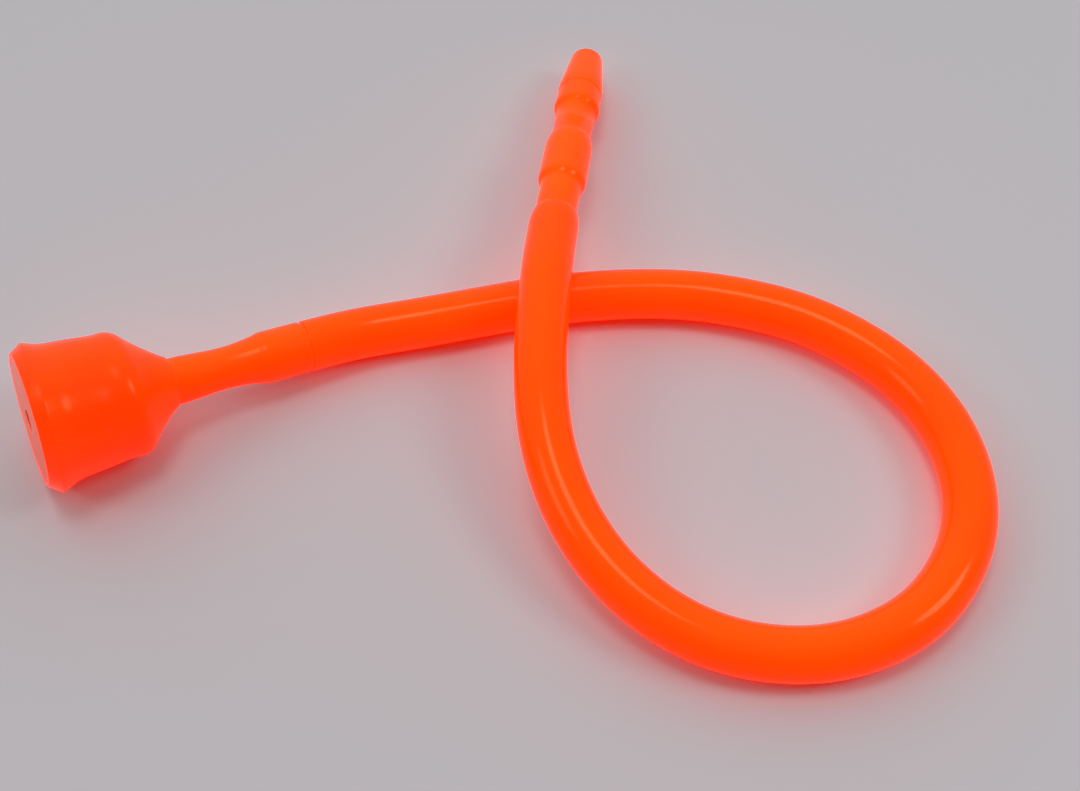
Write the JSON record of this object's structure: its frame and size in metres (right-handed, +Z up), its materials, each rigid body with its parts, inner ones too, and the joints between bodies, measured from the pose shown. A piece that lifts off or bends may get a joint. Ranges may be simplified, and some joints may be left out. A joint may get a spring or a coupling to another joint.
{
  "type": "siphon bulb pump",
  "caption": "Hand siphon pump: soft squeeze bulb with a flat base, check valves inside, and a hose in one loop that ends in a barbed nozzle.",
  "frame": {"origin": "On the table, under the middle of the bulb and its connector's box, the hose and the nozzle left out.", "axes": "+Z up from the table. +X follows the bulb from its flat base towards its neck, which slopes down 8.5 degrees. +Y to the bulb's left, seen from behind the base."},
  "size_m": [0.1946, 0.1858, 0.0341],
  "materials": {
    "soft_bulb": "satin bright orange soft vinyl, smooth moulded skin",
    "base_plastic": "satin bright orange plastic disc",
    "valve_plastic": "natural white moulded plastic",
    "ball_steel": "polished stainless steel ball",
    "fitting_plastic": "satin bright orange semi-rigid plastic",
    "hose_vinyl": "glossy bright orange flexible vinyl tube"
  },
  "bodies": {
    "pump": {"bulb": "soft_bulb", "outlet_valve_seat": "valve_plastic", "outlet_ball_cage": "valve_plastic", "hose_connector": "fitting_plastic", "hose": "hose_vinyl", "nozzle": "fitting_plastic"},
    "base": {"base_disc": "base_plastic", "inlet_valve_seat": "valve_plastic", "inlet_ball_cage": "valve_plastic"},
    "inlet_ball": {"inlet_ball": "ball_steel"},
    "outlet_ball": {"outlet_ball": "ball_steel"}
  },
  "joints": [
    {"name": "bulb_press", "type": "slide", "parent": "pump", "child": "base", "axis": [0.989, 0, -0.1478], "range_m": [0, 0.006], "stiffness_N_per_m": 1500, "deforming": ["bulb"]},
    {"name": "inlet_ball_lift", "type": "slide", "parent": "base", "child": "inlet_ball", "axis": [0.989, 0, -0.1478], "range_m": [0, 0.0012]},
    {"name": "outlet_ball_lift", "type": "slide", "parent": "pump", "child": "outlet_ball", "axis": [0.989, 0, -0.1478], "range_m": [0, 0.0012]}
  ]
}
